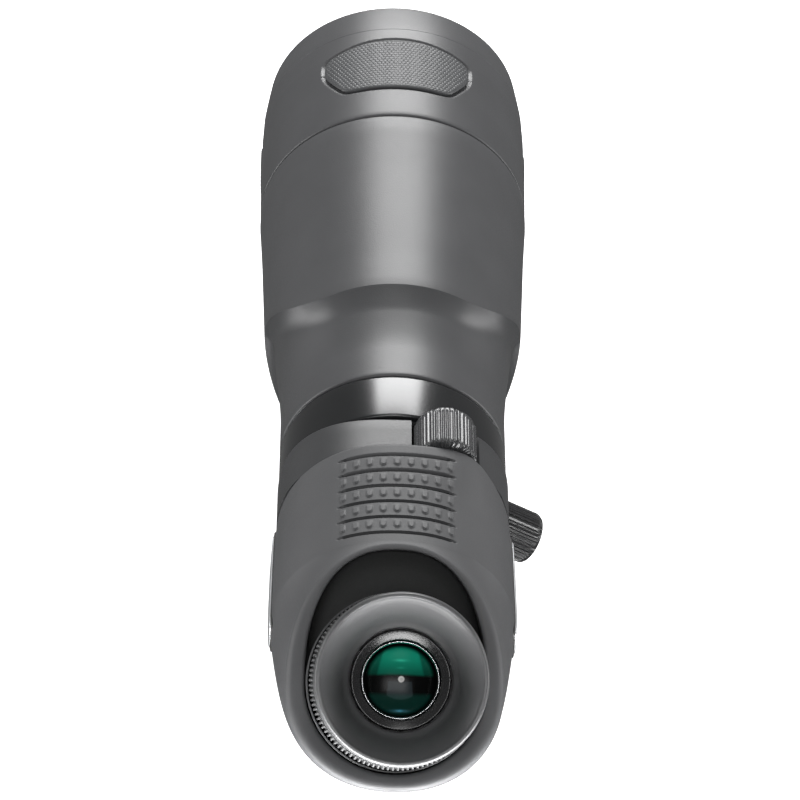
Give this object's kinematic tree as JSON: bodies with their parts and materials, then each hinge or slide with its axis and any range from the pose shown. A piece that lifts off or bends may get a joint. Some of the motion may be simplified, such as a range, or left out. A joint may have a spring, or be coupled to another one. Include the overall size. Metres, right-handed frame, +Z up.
{
  "type": "spotting scope",
  "caption": "Angled zoom spotting scope with rubber armour, sliding sunshade, rotating tripod collar, focus and lock knobs, zoom ring and twist-up eyecup.",
  "frame": {"origin": "on the bottom face of the tripod foot, under the middle of the collar ring", "axes": "+Y along the barrel towards the objective, +Z up from the foot, +X to the observer's right"},
  "size_m": [0.0904, 0.3526, 0.1489],
  "materials": {
    "armor": "fine grained matte rubber armour",
    "dark_rubber": "dark textured rubber",
    "eyecup": "soft satin rubber",
    "anodised": "black anodised, satin",
    "casting": "matte grey coated light alloy casting",
    "steel": "turned steel",
    "brass": "machined brass",
    "knob": "semi-gloss moulded black",
    "optic": "coated optical glass, green reflex",
    "silver": "bright turned ring",
    "badge": "blank satin plate"
  },
  "bodies": {
    "tripod_collar": {"collar_ring": "anodised", "collar_liner": "dark_rubber", "foot_plate": "anodised", "foot_screw_left": "steel", "foot_screw_right": "steel", "socket_bush_front": "steel", "socket_bush_rear": "steel"},
    "brake_shoe": {"brake_shoe": "brass"},
    "lock_knob": {"lock_knob": "knob", "lock_screw": "steel"},
    "scope_body": {"barrel_tube": "casting", "barrel_armor": "armor", "objective_cell": "anodised", "objective_front_element": "optic", "objective_spacer": "anodised", "objective_rear_element": "optic", "objective_retaining_ring": "anodised", "sunshade_guide_ring": "dark_rubber", "neck_screw_1": "steel", "neck_screw_2": "steel", "neck_screw_3": "steel", "prism_housing": "casting", "rear_armor": "armor", "badge_left": "badge", "badge_right": "badge", "prism_tray": "anodised", "correction_prism": "optic", "roof_prism": "optic", "prism_clamp": "anodised", "clamp_screw_1": "steel", "clamp_screw_2": "steel", "focus_guide_rod": "steel", "eyepiece_flange": "anodised", "eyepiece_barrel": "anodised", "eye_lens_cell": "knob", "eye_lens": "optic", "eye_lens_retainer": "silver"},
    "sunshade": {"sunshade_tube": "casting", "sunshade_armor": "armor", "sunshade_bezel": "armor", "sunshade_pad_top": "dark_rubber", "sunshade_pad_right": "dark_rubber", "sunshade_pad_left": "dark_rubber"},
    "focus_knob": {"focus_knob": "knob", "lead_screw": "steel"},
    "focus_carriage": {"focus_carriage": "anodised", "focus_lens": "optic"},
    "zoom_ring": {"zoom_ring": "anodised", "zoom_grip": "dark_rubber", "zoom_cam_sleeve": "brass"},
    "variator": {"variator_cell": "anodised", "variator_lens": "optic"},
    "compensator": {"compensator_cell": "anodised", "compensator_lens": "optic"},
    "eyecup_guide": {"eyecup_guide_ring": "brass"},
    "eyecup": {"eyecup_sleeve": "knob", "eyecup_rubber": "eyecup"}
  },
  "joints": [
    {"name": "collar_turn", "type": "hinge", "parent": "tripod_collar", "child": "scope_body", "pos_m": [0, 0, 0.062], "axis": [0, 1, 0], "continuous": true},
    {"name": "brake_slide", "type": "slide", "parent": "tripod_collar", "child": "brake_shoe", "axis": [0.8788, 0, -0.4772], "range_m": [0, 0.0015]},
    {"name": "lock_turn", "type": "hinge", "parent": "brake_shoe", "child": "lock_knob", "pos_m": [0, 0, 0.062], "axis": [0.8788, 0, -0.4772], "range_deg": [0, 540]},
    {"name": "sunshade_slide", "type": "slide", "parent": "scope_body", "child": "sunshade", "axis": [0, 1, 0], "range_m": [0, 0.03]},
    {"name": "focus_turn", "type": "hinge", "parent": "scope_body", "child": "focus_knob", "pos_m": [0.0143, 0, 0.0931], "axis": [0, 1, 0], "range_deg": [-360, 360]},
    {"name": "focus_slide", "type": "slide", "parent": "scope_body", "child": "focus_carriage", "axis": [0, 1, 0], "range_m": [-0.0042, 0.0042]},
    {"name": "zoom_turn", "type": "hinge", "parent": "scope_body", "child": "zoom_ring", "pos_m": [0, -0.0855, 0.062], "axis": [0, -0.682, 0.7314], "range_deg": [0, 150]},
    {"name": "variator_slide", "type": "slide", "parent": "scope_body", "child": "variator", "axis": [0, -0.682, 0.7314], "range_m": [0, 0.0122]},
    {"name": "compensator_slide", "type": "slide", "parent": "scope_body", "child": "compensator", "axis": [0, -0.682, 0.7314], "range_m": [-0.0042, 0]},
    {"name": "eyecup_lift", "type": "slide", "parent": "scope_body", "child": "eyecup_guide", "axis": [0, -0.682, 0.7314], "range_m": [0, 0.0081]},
    {"name": "eyecup_twist", "type": "hinge", "parent": "eyecup_guide", "child": "eyecup", "pos_m": [0, -0.0855, 0.062], "axis": [0, -0.682, 0.7314], "range_deg": [0, 180]}
  ],
  "couplings": [
    {"joint": "brake_slide", "follows": "lock_turn", "m_per_rad": 0.00015915},
    {"joint": "focus_slide", "follows": "focus_turn", "m_per_rad": 0.00063662},
    {"joint": "variator_slide", "follows": "zoom_turn", "m_per_rad": 0.0045837},
    {"joint": "compensator_slide", "follows": "zoom_turn", "m_per_rad": -0.0015279},
    {"joint": "eyecup_lift", "follows": "eyecup_twist", "m_per_rad": 0.0025465}
  ]
}
